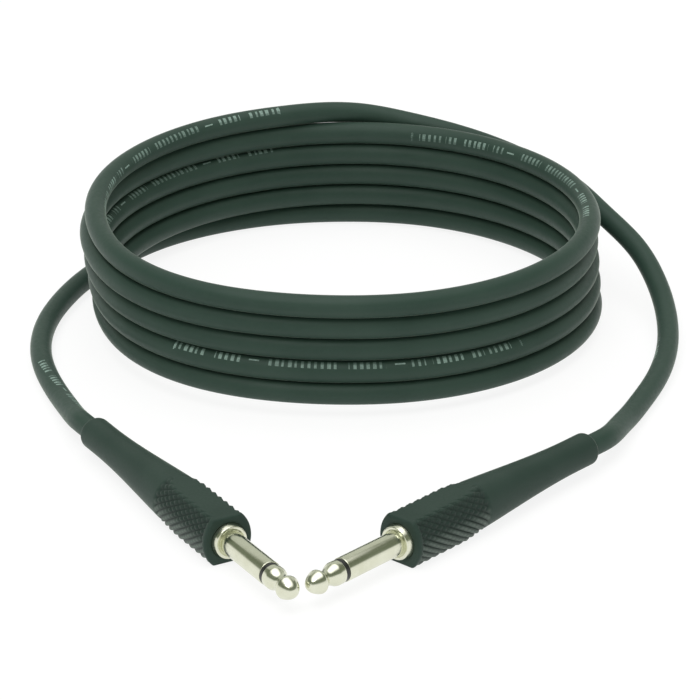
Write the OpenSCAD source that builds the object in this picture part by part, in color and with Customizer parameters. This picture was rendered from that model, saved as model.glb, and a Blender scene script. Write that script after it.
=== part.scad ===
// Coiled instrument cable with a moulded straight two-pole jack plug on each end.
// Millimetres. +Z is up and the cable lies on the plane Z = 0.

/* [Cable] */
// Outer diameter of the cable's jacket
cable_d = 5.9; // [5:0.1:6.4]
// Diameter of the insulation round the inner conductor
dielectric_d = 2.8; // [2:0.1:3.4]
// Diameter of the stranded inner conductor
conductor_d = 0.9; // [0.5:0.1:1.2]
// Diameter of the screen's strands where they are twisted together
screen_tail_d = 1.2; // [0.8:0.1:1.4]

/* [Coil] */
// Mean radius of the coil, to the middle of the cable
coil_r = 68; // [60:1:70]
// Free gap between one turn and the turn on top of it
coil_gap = 0.45; // [0.42:0.01:1]
// X of the coil's axis
coil_x = 1.5; // [-5:0.5:10]
// Y of the coil's axis
coil_y = 137.6; // [130:0.1:150]

/* [Layout of the plugs] */
// X of the point where the axes of the two plugs cross
meet_x = -10.4; // [-12:0.1:-4]
// Y of the point where the axes of the two plugs cross
meet_y = -47.1; // [-52:0.1:-42]
// Way that the left plug points, turned from +X
left_turn = -60.1; // [-64:0.1:-54]
// Way that the right plug points, turned from +X
right_turn = -132; // [-136:0.1:-126]
// Space from the end of the left plug's tip to the crossing point
left_gap = 0; // [0:0.1:6]
// Space from the end of the right plug's tip to the crossing point
right_gap = 4.7; // [4.4:0.1:8]

/* [Contacts] */
// Diameter of the shaft, a quarter inch
shaft_d = 6.35; // [6:0.01:6.6]
// Length of the shaft from the collar's face to the end of the tip
shaft_l = 31.75; // [30:0.05:33]
// Length of the tip contact
tip_l = 11; // [9.5:0.1:11.5]
// Diameter of the tip where it is widest
tip_d = 6.2; // [5.8:0.05:6.3]
// Diameter of the tip's neck, which the jack's spring drops into
neck_d = 4.1; // [3.4:0.1:4.6]
// Diameter of the rod that joins the tip to its lug
rod_d = 2.2; // [1.6:0.1:2.6]
// Width of the black ring between the tip and the sleeve
ring_w = 1.3; // [1:0.1:2]
// Diameter of the black ring
ring_d = 6; // [5.8:0.05:6.05]
// Length of the black ring's spigot inside the sleeve
spigot_l = 4; // [3:0.5:6]
// Wall of the sleeve
sleeve_wall = 0.5; // [0.45:0.05:0.6]
// Diameter of the sleeve's thinner root, which the collar holds
root_d = 6; // [5.9:0.05:6.1]

/* [Collar] */
// Diameter of the collar
collar_d = 8.6; // [8:0.1:9.2]
// Diameter of the step on the collar's face
collar_step_d = 7.7; // [7.2:0.1:8]
// How far the collar stands out of the grip
collar_proud = 1.8; // [1.4:0.1:2.6]
// Width of the step on the collar's face
collar_step_w = 0.7; // [0.4:0.1:1]
// Depth of the collar's rim below the space round it
collar_seat = 1; // [0.6:0.1:1.4]
// Diameter of the collar's hub, inside the grip
hub_d = 7.8; // [7.2:0.1:8]
// Length of the hub behind the grip's face
hub_l = 9; // [8:0.5:11]

/* [Grip and boot] */
// Width of the grip over its two knurled sides
grip_w = 13.4; // [13:0.1:14]
// How far beyond the axis the centre of each knurled side's curve lies
side_shift = 2.2; // [1.6:0.1:2.6]
// Distance from the grip's face to where its sides start to round off
round_start = 19; // [14:1:20]
// Diameter that the round body starts to taper from
grip_d = 14.2; // [14:0.1:15]
// Length of the round body in front of its taper
straight_l = 11; // [8:0.5:14]
// Length over which the round body tapers down to the boot
taper_l = 56; // [46:1:58]
// Length of the boot behind its taper
boot_l = 6.4; // [3:0.1:13]
// Diameter of the boot behind the taper
boot_d = 8.7; // [8.4:0.1:10]
// Radius of the grip's front edge
nose_r = 0.6; // [0.3:0.1:1]
// Radius of the boot's rear edge
tail_r = 1.2; // [0.4:0.1:1.2]
// Distance from the axis to the smooth flats above and below
flat_h = 6.3; // [6:0.05:6.5]
// Space round the collar at the grip's face
face_gap = 0.45; // [0.3:0.05:0.7]
// Depth of the space round the collar
face_gap_depth = 1.5; // [1:0.1:2]

/* [Knurl] */
// Length of one diamond along the grip
knurl_pitch = 3; // [2.4:0.1:3.4]
// Number of diamonds along the grip
knurl_rows = 9; // [7:1:10]
// Number of diamonds round each side of the grip
knurl_columns = 7; // [5:1:9]
// Depth of the grooves between the diamonds
knurl_h = 0.55; // [0.3:0.05:0.6]
// Distance from the grip's face to the first diamond
knurl_start = 1.1; // [0.8:0.1:2]

/* [Inside] */
// Thickness of the stamped lugs
lug_t = 0.6; // [0.4:0.1:0.8]
// Diameter of the ground lug's washer
ground_lug_d = 7.6; // [7:0.1:7.7]
// Width of the ground lug's strap
ground_strap_w = 3; // [2:0.1:4]
// Space between the jacket and the ground lug's strap
strap_gap = 0.3; // [0.2:0.05:0.5]
// Distance from the end of the jacket to the clamp
clamp_set = 1.5; // [1:0.1:2]
// Length of the clamp that grips the jacket
clamp_l = 3.5; // [2.5:0.5:4.5]
// Diameter of the tip lug's washer
tip_lug_d = 5.2; // [4.8:0.1:5.6]
// Width of the tip lug's strap
tip_strap_w = 1.8; // [1.4:0.1:2.4]
// Length of the tip lug's strap
tip_strap_l = 5.4; // [5.2:0.1:6]
// Thickness of the insulating shoulder between the two lugs
shoulder_t = 1; // [0.8:0.1:1.4]
// Diameter of the insulating shoulder
shoulder_d = 6.8; // [6.7:0.1:7.4]
// Length of the rivet head on the rod
rivet_l = 0.8; // [0.5:0.1:1.2]
// Diameter of the rivet head on the rod
rivet_d = 3.6; // [3:0.1:4]
// Outer diameter of the inner mould
mould_d = 10.4; // [9.8:0.1:10.8]
// Wall of the inner mould
mould_wall = 1; // [0.8:0.1:1.2]
// Length of the inner mould
mould_l = 29; // [28:0.5:32]
// Depth at which the inner mould starts, behind the grip's face
mould_front = 5; // [4:0.5:6]
// Length over which the inner mould tapers to the cable
mould_taper = 5; // [3:0.5:5.5]
// Depth of the end of the jacket, behind the grip's face
jacket_end = 23; // [22:0.5:24]
// Length of the insulation inside the end of the jacket
dielectric_in = 8; // [6:0.5:12]
// Length of the insulation that is bare, past the end of the jacket
dielectric_bare = 3; // [2:0.5:4]
// Length of the conductor inside its insulation
conductor_in = 4; // [3:0.5:5]
// Space between the conductor's end and the rivet head
conductor_gap = 0.4; // [0.2:0.1:1]
// Length of the screen's tail, past the end of the jacket
screen_tail_l = 6; // [5:0.5:8]
// Straight run of the conductor before its bend
bend_start = 0.6; // [0.4:0.1:1]
// Length over which a wire bends over to its strap
bend_run = 2.4; // [2:0.1:2.6]
// Diameter of a blob of solder
solder_d = 1.8; // [1.6:0.1:1.9]
// Thickness of the solder between a wire and its lug
solder_film = 0.1; // [0.05:0.05:0.2]

/* [Hidden] */
$fn = 64;
CABLE_SIDES = 8;
WIRE_SIDES = 12;
COIL_SIDES = 6;
COIL_RINGS = 24;
// How far a cut runs past the faces that it opens
CUT = 1;

// Cable
cable_r = cable_d / 2;
pitch = cable_d + coil_gap;
axis_h = flat_h;

// Length of grip and boot together
handle_l = straight_l + taper_l + boot_l;

// How far the coil's radius wanders at each quarter turn, from the back of the top turn on
WANDER = [
    0.3, 1, 0, 0, 0.1, 2.5, -1, -0.5, -0.1, 1.5, -1.3,
    0, 0, 0.5, -1, 0.5, 0, -0.5, -0.7, 1, 1.3, 6,
];
// How far every turn bulges out between the left side and the front
BULGE = 2.8;
BULGE_AT = 227;
COIL_START = 105;
COIL_FLOOR = 1890;
COIL_END = 1920;

// Where each free lead runs, from the coil to its plug: X, Y and height above lying flat
LEFT_ROUTE = [
    [-55.5, 182.1, 0], [-63.5, 171.1, 0], [-71.5, 157.1, 0], [-77.5, 141.1, 0], [-80.7, 127.1, 0],
    [-81.8, 113.1, 0], [-80.8, 99.6, 0], [-77.8, 86.1, 0], [-74.2, 74.3, 0.3], [-71.4, 65.1, 1.2],
    [-69.1, 57.3, 2.3],
];
RIGHT_ROUTE = [
    [7, 210.1, 29.7], [19, 209.9, 27.4], [32, 205.6, 25.6], [44.5, 199.1, 23.7], [56.5, 189.1, 21.8],
    [67, 176.6, 19.8], [75.5, 163.6, 16.2], [83, 153.1, 12], [88, 140.1, 7.6], [90.3, 125.1, 4],
    [90.2, 110.6, 1.7], [88.2, 97.1, 0.6], [84.7, 84.1, 0.1], [80.6, 72.6, 0], [76.9, 62.6, 0.3],
    [74, 54.6, 1.2], [71.7, 47.5, 2.3],
];

// Each plug: name, way it points, distance from its tip's end to the crossing point, route
PLUGS = [
    ["left", left_turn, left_gap, LEFT_ROUTE],
    ["right", right_turn, right_gap, RIGHT_ROUTE],
];

// ---- Points and curves ----

function unit(v) = v / norm(v);

function ease(t) = let (c = min(1, max(0, t))) c * c * (3 - 2 * c);

function turn_dir(a) = [cos(a), sin(a), 0];

// Radius of the coil at an angle: eased from one quarter turn's value to the next
function coil_radius(a) =
    let (q = (a - 90) / 90, i = min(len(WANDER) - 2, floor(q)), t = q - i)
    coil_r + WANDER[i] + (WANDER[i + 1] - WANDER[i]) * ease(t) + bulge(a);

// A smooth bulge over a quarter turn
function bulge(a) = let (c = max(0, cos(a - BULGE_AT))) BULGE * pow(max(0, 2 * c * c - 1), 2);

function coil_height(a) = cable_r + pitch * max(0, COIL_FLOOR - a) / 360;

function coil_point(a) =
    [coil_x + coil_radius(a) * cos(a), coil_y + coil_radius(a) * sin(a), coil_height(a)];

function coil_run(a) = unit(coil_point(a + 1) - coil_point(a));

// The coil's middle line, with a straight run of one diameter on each end
COIL_STEP = 360 / COIL_RINGS;
COIL_LINE = concat(
    [coil_point(COIL_START) - coil_run(COIL_START) * cable_d],
    [for (a = [COIL_START : COIL_STEP : COIL_END]) coil_point(a)],
    [coil_point(COIL_END) + coil_run(COIL_END) * cable_d]
);

function first_out(line) = unit(line[0] - line[1]);

function last_out(line) = unit(line[len(line) - 1] - line[len(line) - 2]);

// The least gap of the coil to itself, between points more than half a turn apart
coil_least_gap = min([
    for (i = [0 : len(COIL_LINE) - 1], j = [i + COIL_RINGS / 2 : 1 : len(COIL_LINE) - 1])
        norm(COIL_LINE[i] - COIL_LINE[j])
]) - cable_d;
echo(coil_least_gap = coil_least_gap);

function line_length(line) =
    let (steps = [for (i = [1 : len(line) - 1]) norm(line[i] - line[i - 1])])
    steps * [for (s = steps) 1];

// Where the cable enters a plug's boot
function plug_front(plug) =
    [meet_x, meet_y, axis_h] - turn_dir(plug[1]) * (plug[2] + shaft_l + collar_proud);

function boot_end(plug) = plug_front(plug) - turn_dir(plug[1]) * handle_l;

function lead_line(start, out, plug) = concat(
    [start, start + out * cable_d],
    [for (p = plug[3]) [p[0], p[1], p[2] + cable_r]],
    [boot_end(plug) - turn_dir(plug[1]) * cable_d, boot_end(plug)]
);

LEFT_LEAD = lead_line(COIL_LINE[len(COIL_LINE) - 1], last_out(COIL_LINE), PLUGS[0]);
RIGHT_LEAD = lead_line(COIL_LINE[0], first_out(COIL_LINE), PLUGS[1]);
echo(cable_length = line_length(COIL_LINE) + line_length(LEFT_LEAD) + line_length(RIGHT_LEAD));

// One ring of a tube, square to the way that the line runs at point i, with a corner towards top
function ring(line, i, r, sides, top) =
    let (
        here = line[i],
        before = i > 0 ? unit(here - line[i - 1]) : unit(line[1] - here),
        after = i < len(line) - 1 ? unit(line[i + 1] - here) : before,
        run = unit(before + after),
        side = unit(cross(top, run)),
        up = cross(run, side)
    )
    [for (k = [0 : sides - 1]) here + r * (cos(360 * k / sides) * up + sin(360 * k / sides) * side)];

// Triangles over a wall of rings, with a fan on each end
function wall_faces(rings, sides) = concat(
    [for (i = [0 : rings - 2], k = [0 : sides - 1])
        let (a = i * sides + k, b = i * sides + (k + 1) % sides) [a, a + sides, b]],
    [for (i = [0 : rings - 2], k = [0 : sides - 1])
        let (a = i * sides + k, b = i * sides + (k + 1) % sides) [b, a + sides, b + sides]]
);

function end_faces(rings, sides) = concat(
    [for (k = [1 : sides - 2]) [0, k, k + 1]],
    [for (k = [1 : sides - 2]) let (a = (rings - 1) * sides) [a, a + k + 1, a + k]]
);

module tube(line, r, sides, top = [0, 0, 1]) {
    polyhedron(
        points = [for (i = [0 : len(line) - 1]) each ring(line, i, r, sides, top)],
        faces = concat(wall_faces(len(line), sides), end_faces(len(line), sides))
    );
}

// ---- Cable ----

module cable_coil() {
    color("darkslategray") tube(COIL_LINE, cable_r, COIL_SIDES);
}

module cable_lead(line) {
    color("darkslategray") tube(line, cable_r, CABLE_SIDES);
}

// ---- Plug: its axis is Z, its front face is at Z = 0, its tip points to +Z and its top to +Y ----

module place(plug) {
    translate(plug_front(plug)) rotate([90, 0, plug[1] + 90]) children();
}

tip_back = collar_proud + shaft_l - tip_l;
sleeve_front = tip_back - ring_w;
spigot_back = sleeve_front - spigot_l;
sleeve_bore_r = shaft_d / 2 - sleeve_wall;
collar_back = face_gap_depth + collar_seat;
core_back = -hub_l - lug_t - shoulder_t;
tip_lug_back = core_back - lug_t;
edge = 0.25;

// Outline of the tip as [radius, height]: shoulder, neck, bulb and rounded nose. The places and the
// cylindrical lands between them are shares of the tip's length.
SHOULDER_AT = 0.14;
NECK_AT = 0.43;
NECK_LAND = 0.04;
BULB_AT = 0.66;
BULB_LAND = 0.03;
NOSE_R = 1.1;
NOSE_POWER = 0.8;
CURVE_STEPS = 8;

function eased(r0, z0, r1, z1) =
    [for (i = [0 : CURVE_STEPS]) let (t = i / CURVE_STEPS) [r0 + (r1 - r0) * ease(t), z0 + (z1 - z0) * t]];

function nose_points(r, z_start, z_end) =
    [for (i = [0 : CURVE_STEPS]) let (a = 90 * i / CURVE_STEPS)
        [NOSE_R * cos(a) + (r - NOSE_R) * pow(1 - i / CURVE_STEPS, NOSE_POWER),
            z_start + (z_end - z_start) * sin(a)]];

TIP_OUTLINE = concat(
    [[0, 0], [tip_d / 2 - edge, 0], [tip_d / 2, edge]],
    eased(tip_d / 2, tip_l * SHOULDER_AT, neck_d / 2, tip_l * NECK_AT),
    eased(neck_d / 2, tip_l * (NECK_AT + NECK_LAND), tip_d / 2, tip_l * BULB_AT),
    nose_points(tip_d / 2, tip_l * (BULB_AT + BULB_LAND), tip_l)
);

module tip() {
    color("silver") union() {
        translate([0, 0, tip_back]) rotate_extrude() polygon(TIP_OUTLINE);
        translate([0, 0, tip_lug_back]) cylinder(d = rod_d, h = tip_back - tip_lug_back + CUT);
        translate([0, 0, tip_lug_back - rivet_l]) cylinder(d = rivet_d, h = rivet_l);
    }
}

module tip_insulator() {
    color("black") difference() {
        union() {
            translate([0, 0, sleeve_front]) cylinder(d = ring_d, h = ring_w);
            translate([0, 0, spigot_back]) cylinder(r = sleeve_bore_r, h = spigot_l + ring_w / 2);
        }
        translate([0, 0, spigot_back - CUT]) cylinder(d = rod_d, h = spigot_l + ring_w + 2 * CUT);
    }
}

module core_insulator() {
    color("ivory") difference() {
        union() {
            translate([0, 0, core_back]) cylinder(r = sleeve_bore_r, h = spigot_back - core_back);
            translate([0, 0, core_back]) cylinder(d = shoulder_d, h = shoulder_t);
        }
        translate([0, 0, core_back - CUT]) cylinder(d = rod_d, h = sleeve_front - core_back + 2 * CUT);
    }
}

module sleeve() {
    color("silver") rotate_extrude() polygon([
        [sleeve_bore_r, -hub_l],
        [root_d / 2, -hub_l],
        [root_d / 2, collar_proud],
        [shaft_d / 2, collar_proud],
        [shaft_d / 2, sleeve_front - edge],
        [shaft_d / 2 - edge, sleeve_front],
        [sleeve_bore_r, sleeve_front],
    ]);
}

module collar() {
    color("silver") rotate_extrude() polygon([
        [root_d / 2, -hub_l],
        [hub_d / 2, -hub_l],
        [hub_d / 2, -collar_back],
        [collar_d / 2, -collar_back],
        [collar_d / 2, collar_proud - collar_step_w - edge],
        [collar_d / 2 - edge, collar_proud - collar_step_w],
        [collar_step_d / 2, collar_proud - collar_step_w],
        [collar_step_d / 2 - edge, collar_proud],
        [root_d / 2, collar_proud],
    ]);
}

// A washer behind the hub, a strap along the cable and an open clamp round the jacket
strap_in = cable_r + strap_gap;
clamp_back = jacket_end + clamp_set + clamp_l;
// Where the clamp's opening starts, as a share of the jacket's radius
CLAMP_OPEN = 0.6;

module ground_lug() {
    color("lightgray") difference() {
        union() {
            translate([0, 0, -hub_l - lug_t]) cylinder(d = ground_lug_d, h = lug_t);
            translate([-ground_strap_w / 2, -strap_in - lug_t, -clamp_back])
                cube([ground_strap_w, lug_t, clamp_back - hub_l]);
            translate([0, 0, -clamp_back]) cylinder(r = strap_in + lug_t / 2, h = clamp_l);
        }
        translate([0, 0, -hub_l - lug_t - CUT]) cylinder(r = sleeve_bore_r, h = lug_t + 2 * CUT);
        translate([0, 0, -clamp_back - CUT]) cylinder(r = cable_r, h = clamp_l + 2 * CUT);
        translate([-cable_r, cable_r * CLAMP_OPEN, -clamp_back - CUT])
            cube([cable_d, cable_d, clamp_l + 2 * CUT]);
    }
}

// A washer under the rivet and a strap that the conductor is soldered to, pressed to a share of the
// washer's thickness
STRAP_SHARE = 0.8;
strap_low = tip_lug_d / 2 - lug_t;

module tip_lug() {
    color("lightgray") difference() {
        union() {
            translate([0, 0, tip_lug_back]) cylinder(d = tip_lug_d, h = lug_t);
            translate([-tip_strap_w / 2, strap_low, core_back - tip_strap_l - lug_t])
                cube([tip_strap_w, lug_t * STRAP_SHARE, tip_strap_l + lug_t]);
        }
        translate([0, 0, tip_lug_back - CUT]) cylinder(d = rod_d, h = lug_t + 2 * CUT);
    }
}

mould_back = mould_front + mould_l;

module inner_mould() {
    color("dimgray") rotate_extrude() polygon([
        [hub_d / 2, -mould_front],
        [mould_d / 2, -mould_front],
        [mould_d / 2, -mould_back + mould_taper],
        [cable_r + mould_wall, -mould_back],
        [cable_r, -mould_back],
        [cable_r, -mould_back + mould_taper],
        [mould_d / 2 - mould_wall, -mould_back + mould_taper],
        [mould_d / 2 - mould_wall, -hub_l],
        [hub_d / 2, -hub_l],
    ]);
}

module cable_end() {
    color("darkslategray") translate([0, 0, -handle_l]) difference() {
        cylinder(d = cable_d, h = handle_l - jacket_end);
        translate([0, 0, handle_l - jacket_end - dielectric_in])
            cylinder(d = dielectric_d, h = dielectric_in + CUT);
    }
}

module dielectric() {
    color("white") translate([0, 0, -jacket_end - dielectric_in]) difference() {
        cylinder(d = dielectric_d, h = dielectric_in + dielectric_bare);
        translate([0, 0, dielectric_in - conductor_in])
            cylinder(d = conductor_d, h = conductor_in + dielectric_bare + CUT);
    }
}

module wire(line, d) {
    tube(line, d / 2, WIRE_SIDES, [0, 1, 0]);
}

wire_y = strap_low - solder_film - conductor_d / 2;
wire_bend = -jacket_end + dielectric_bare + bend_start;
wire_end = tip_lug_back - rivet_l - conductor_gap;

module conductor() {
    color("peru") wire([
        [0, 0, -jacket_end - conductor_in],
        [0, 0, wire_bend],
        [0, wire_y, wire_bend + bend_run],
        [0, wire_y, wire_end],
    ], conductor_d);
}

tail_y = -strap_in + solder_film + screen_tail_d / 2;

module screen_tail() {
    color("peru") wire([
        [0, -dielectric_d / 2 - screen_tail_d / 2, -jacket_end],
        [0, tail_y, -jacket_end + bend_run],
        [0, tail_y, -jacket_end + screen_tail_l],
    ], screen_tail_d);
}

// Solder round a wire of diameter d at height y, ending flat against a strap
module solder_joint(y, d, z, strap_y) {
    r = solder_d / 2;
    translate([0, y, z]) difference() {
        rotate_extrude() polygon([
            [d / 2, -solder_d], [d / 2 + edge / 2, -solder_d], [r, -r / 2],
            [r, r / 2], [d / 2 + edge / 2, solder_d], [d / 2, solder_d],
        ]);
        translate([-solder_d, strap_y > y ? strap_y - y : strap_y - y - solder_d, -2 * solder_d])
            cube([2 * solder_d, solder_d, 4 * solder_d]);
    }
}

module solder() {
    color("gainsboro") {
        solder_joint(wire_y, conductor_d, wire_end - edge - solder_d, strap_low);
        solder_joint(tail_y, screen_tail_d, -jacket_end + screen_tail_l - solder_d, -strap_in);
    }
}

// ---- Grip and boot ----

boot_r = boot_d / 2;
seat = 0.15;
groove_w = 0.3;
overlap = 0.5;
knurl_end = knurl_start + knurl_rows * knurl_pitch;
boot_start = knurl_end + groove_w;
ARC_STEPS = 6;
TAPER_STEPS = 12;

// Radius of the round body at a distance s behind its front face
function body_radius(s) = grip_d / 2 + (boot_r - grip_d / 2) * ease((s - straight_l) / taper_l);

// Each knurled side is an arc about a line beyond the axis. The line moves to the axis behind
// round_start, so that the grip is as round as the boot where the two meet.
function arc_shift(s) = side_shift * (1 - ease((s - round_start) / (boot_start - round_start)));

function arc_radius(s) = min(grip_w / 2, body_radius(s)) + arc_shift(s);

// Boot, from the end of the knurl to its rounded rear end
BOOT_OUTLINE = concat(
    [[0, -boot_start]],
    [for (i = [0 : TAPER_STEPS])
        let (s = boot_start + (straight_l + taper_l - boot_start) * i / TAPER_STEPS) [body_radius(s), -s]],
    [for (i = [0 : ARC_STEPS]) let (a = 90 * i / ARC_STEPS)
        [boot_r - tail_r * (1 - cos(a)), -handle_l + tail_r * (1 - sin(a))]],
    [[0, -handle_l]]
);

// What the smooth flats above and below take off the boot
module flat_cuts() {
    for (side = [-1, 1])
        translate([-grip_d, side > 0 ? flat_h : -flat_h - grip_d, -handle_l])
            cube([2 * grip_d, grip_d, handle_l + CUT]);
}

// Grip: rows of points as [distance behind the face, inset]. First the rounded front edge, then the
// diamond knurl, then two rows that seat in the boot. The knurl is a grid of half diamonds cut into
// both sides, where every other crossing is a peak, and each cell is folded along the line between
// its two valleys.
GRIP_ROWS = concat(
    [for (i = [0 : ARC_STEPS]) let (a = 90 * i / ARC_STEPS) [nose_r * (1 - cos(a)), nose_r * (1 - sin(a))]],
    [for (i = [0 : 2 * knurl_rows]) [knurl_start + i * knurl_pitch / 2, 0]],
    [[boot_start - groove_w / 3, seat], [boot_start + overlap, seat]]
);
FIRST_ROW = ARC_STEPS + 1;
LAST_ROW = FIRST_ROW + 2 * knurl_rows;
// Smooth strip between the knurl and a flat, as an angle
RIM_ANGLE = 3;

function is_peak(row, column) = (row + column) % 2 == 1;

function knurl_depth(row, column) =
    row >= FIRST_ROW && row <= LAST_ROW && !is_peak(row, column) ? knurl_h : 0;

// Points of one side at a row as [radius, angle] about the side's own centre, from the lower flat
// to the upper one
function side_points(row, r, corner) = let (columns = 2 * knurl_columns)
    concat(
        [[r, -corner]],
        [for (k = [0 : columns]) [r - knurl_depth(row, k), (corner - RIM_ANGLE) * (2 * k / columns - 1)]],
        [[r, corner]]
    );

function row_points(row) =
    let (
        s = GRIP_ROWS[row][0],
        inset = GRIP_ROWS[row][1],
        r = arc_radius(s) - inset,
        corner = min(90 - RIM_ANGLE, asin(min(1, (flat_h - inset) / r)))
    )
    [for (side = [1, -1], p = side_points(row, r, corner))
        [side * (p[0] * cos(p[1]) - arc_shift(s)), side * p[0] * sin(p[1]), -s]];

module knurled_grip() {
    n = len(row_points(0));
    rows = len(GRIP_ROWS);
    first_column = 1;
    polyhedron(
        points = [for (i = [0 : rows - 1]) each row_points(i)],
        faces = concat(
            [for (i = [0 : rows - 2], k = [0 : n - 1])
                let (a = i * n + k, b = i * n + (k + 1) % n, column = k % (n / 2) - first_column)
                each is_peak(i, column + n)
                    ? [[a, b, a + n], [b, b + n, a + n]]
                    : [[a, b, b + n], [a, b + n, a + n]]],
            [[for (k = [n - 1 : -1 : 0]) k]],
            [[for (k = [0 : n - 1]) (rows - 1) * n + k]]
        )
    );
}

module cavity() {
    translate([0, 0, -face_gap_depth]) cylinder(d = collar_d + 2 * face_gap, h = face_gap_depth + CUT);
    rotate_extrude() polygon([
        [0, 0],
        [collar_d / 2, 0],
        [collar_d / 2, -collar_back],
        [hub_d / 2, -collar_back],
        [hub_d / 2, -mould_front],
        [mould_d / 2, -mould_front],
        [mould_d / 2, -mould_back + mould_taper],
        [cable_r + mould_wall, -mould_back],
        [cable_r, -mould_back],
        [cable_r, -handle_l - CUT],
        [0, -handle_l - CUT],
    ]);
}

module handle() {
    color("darkslategray") difference() {
        union() {
            knurled_grip();
            difference() {
                rotate_extrude() polygon(BOOT_OUTLINE);
                flat_cuts();
            }
        }
        cavity();
    }
}

cable_coil();
cable_lead(LEFT_LEAD);  // cable_lead_left
cable_lead(RIGHT_LEAD);  // cable_lead_right
for (plug = PLUGS) {
    place(plug) tip();
    place(plug) tip_insulator();
    place(plug) core_insulator();
    place(plug) sleeve();
    place(plug) collar();
    place(plug) ground_lug();
    place(plug) tip_lug();
    place(plug) inner_mould();
    place(plug) handle();
    place(plug) cable_end();
    place(plug) dielectric();
    place(plug) conductor();
    place(plug) screen_tail();
    place(plug) solder();
}
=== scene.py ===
"""Looks for a coiled instrument cable with a moulded jack plug on each end.

Lengths are in millimetres and angles in degrees. MM turns a length into Blender's metres.
"""

import math

import bpy
import numpy as np
from mathutils import Matrix


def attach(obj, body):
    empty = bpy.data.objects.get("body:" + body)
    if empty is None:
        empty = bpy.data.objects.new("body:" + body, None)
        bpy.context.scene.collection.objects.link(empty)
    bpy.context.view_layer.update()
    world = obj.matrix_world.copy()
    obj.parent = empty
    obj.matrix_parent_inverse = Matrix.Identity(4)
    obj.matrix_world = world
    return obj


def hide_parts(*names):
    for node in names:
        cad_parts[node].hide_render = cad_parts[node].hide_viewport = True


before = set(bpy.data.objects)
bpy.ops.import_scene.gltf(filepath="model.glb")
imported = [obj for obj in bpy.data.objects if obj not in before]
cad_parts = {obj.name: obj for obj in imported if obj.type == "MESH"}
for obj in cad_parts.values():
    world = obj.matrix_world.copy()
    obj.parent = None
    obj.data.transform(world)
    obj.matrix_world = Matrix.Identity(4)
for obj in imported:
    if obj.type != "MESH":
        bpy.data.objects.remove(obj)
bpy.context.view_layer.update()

MM = 0.001


def put_in_scene(name, data):
    obj = bpy.data.objects.new(name, data)
    bpy.context.scene.collection.objects.link(obj)
    return obj


# ---- Camera ----

CAMERA_TARGET = np.array([2.98, 112.8, 0.0])
CAMERA_DISTANCE = 1210.6
CAMERA_ELEVATION = 23.8
CAMERA_LENS = 226.3
CAMERA_SENSOR = 36.0
# Nearest and farthest that the camera sees, in metres
CAMERA_CLIP = (0.05, 50.0)


def make_camera():
    data = bpy.data.cameras.new("camera")
    data.lens = CAMERA_LENS
    data.sensor_width = CAMERA_SENSOR
    data.clip_start, data.clip_end = CAMERA_CLIP
    camera = put_in_scene("camera", data)
    e = math.radians(CAMERA_ELEVATION)
    away = np.array([0.0, -math.cos(e), math.sin(e)])
    camera.location = (CAMERA_TARGET + CAMERA_DISTANCE * away) * MM
    camera.rotation_euler = (math.pi / 2 - e, 0.0, 0.0)
    bpy.context.scene.camera = camera


make_camera()

# ---- The cable's route, as in the CAD source ----

CABLE_D = 5.9
CABLE_R = CABLE_D / 2
COIL_GAP = 0.45
PITCH = CABLE_D + COIL_GAP
COIL_R = 68.0
COIL_X, COIL_Y = 1.5, 137.6
# The wound part from its top down: angles where it starts, comes to lie on the floor and ends,
# and the step between the points that the route takes from it
COIL_START, COIL_FLOOR, COIL_END, COIL_STEP = 105, 1890, 1920, 15
# How far outside the coil's radius the cable lies, at every quarter turn from WANDER_START on
WANDER = [
    0.3, 1, 0, 0, 0.1, 2.5, -1, -0.5, -0.1, 1.5, -1.3,
    0, 0, 0.5, -1, 0.5, 0, -0.5, -0.7, 1, 1.3, 6,
]
WANDER_START, WANDER_STEP = 90, 90
# How far all turns bulge out, and at which angle
BULGE, BULGE_AT = 2.8, 227
# Free leads from the coil to the boots: X, Y and height above the floor
LEFT_ROUTE = [
    (-55.5, 182.1, 0), (-63.5, 171.1, 0), (-71.5, 157.1, 0), (-77.5, 141.1, 0), (-80.7, 127.1, 0),
    (-81.8, 113.1, 0), (-80.8, 99.6, 0), (-77.8, 86.1, 0), (-74.2, 74.3, 0.3), (-71.4, 65.1, 1.2),
    (-69.1, 57.3, 2.3),
]
RIGHT_ROUTE = [
    (7, 210.1, 29.7), (19, 209.9, 27.4), (32, 205.6, 25.6), (44.5, 199.1, 23.7),
    (56.5, 189.1, 21.8), (67, 176.6, 19.8), (75.5, 163.6, 16.2), (83, 153.1, 12),
    (88, 140.1, 7.6), (90.3, 125.1, 4), (90.2, 110.6, 1.7), (88.2, 97.1, 0.6),
    (84.7, 84.1, 0.1), (80.6, 72.6, 0), (76.9, 62.6, 0.3), (74, 54.6, 1.2), (71.7, 47.5, 2.3),
]
# Point where the axes of the two plugs cross
AXIS_H = 6.3
MEET = np.array([-10.4, -47.1, AXIS_H])
SHAFT_L, COLLAR_PROUD = 31.75, 1.8
STRAIGHT_L, TAPER_L, BOOT_L = 11.0, 56.0, 6.4
HANDLE_L = STRAIGHT_L + TAPER_L + BOOT_L
# Way that each plug points, turned from +X, and the space from its tip to the crossing point
PLUGS = {"left": (-60.1, 0.0), "right": (-132.0, 4.7)}
# Distance between the points of the finished centreline
LINE_STEP = 2.0
# Points per given point that the spline is measured at
SPLINE_FINE = 20


def ease(t):
    c = np.clip(t, 0.0, 1.0)
    return c * c * (3 - 2 * c)


def way(turn):
    a = math.radians(turn)
    return np.array([math.cos(a), math.sin(a), 0.0])


def coil_height(a):
    return CABLE_R + PITCH * max(0, COIL_FLOOR - a) / 360


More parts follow.
